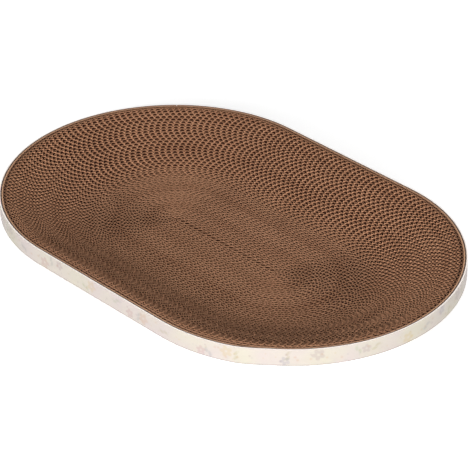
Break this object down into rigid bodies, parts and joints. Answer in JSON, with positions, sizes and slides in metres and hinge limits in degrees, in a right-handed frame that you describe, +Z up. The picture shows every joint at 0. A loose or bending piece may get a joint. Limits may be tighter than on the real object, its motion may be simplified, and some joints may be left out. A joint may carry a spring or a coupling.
{
  "type": "cat scratcher",
  "caption": "Oblong cat scratching dish: corrugated cardboard wound on edge into a shallow dish, with a printed band round the rim.",
  "frame": {"origin": "centre of the outline on the surface that the dish stands on", "axes": "+X along the length of the dish, +Y across it, +Z up out of the dish"},
  "size_m": [0.5, 0.332, 0.0495],
  "materials": {
    "board": "matte brown corrugated board, cut edges up",
    "band": "corrugated board with a smooth cream outer facing and a faint pastel print"
  },
  "bodies": {
    "root": {"strip_01": "board", "strip_02": "board", "strip_03": "board", "strip_04": "board", "strip_05": "board", "strip_06": "board", "strip_07": "board", "strip_08": "board", "strip_09": "board", "strip_10": "board", "strip_11": "board", "strip_12": "board", "strip_13": "board", "strip_14": "board", "strip_15": "board", "strip_16": "board", "strip_17": "board", "strip_18": "board", "strip_19": "board", "strip_20": "board", "strip_21": "board", "strip_22": "board", "printed_band": "band"}
  },
  "joints": []
}
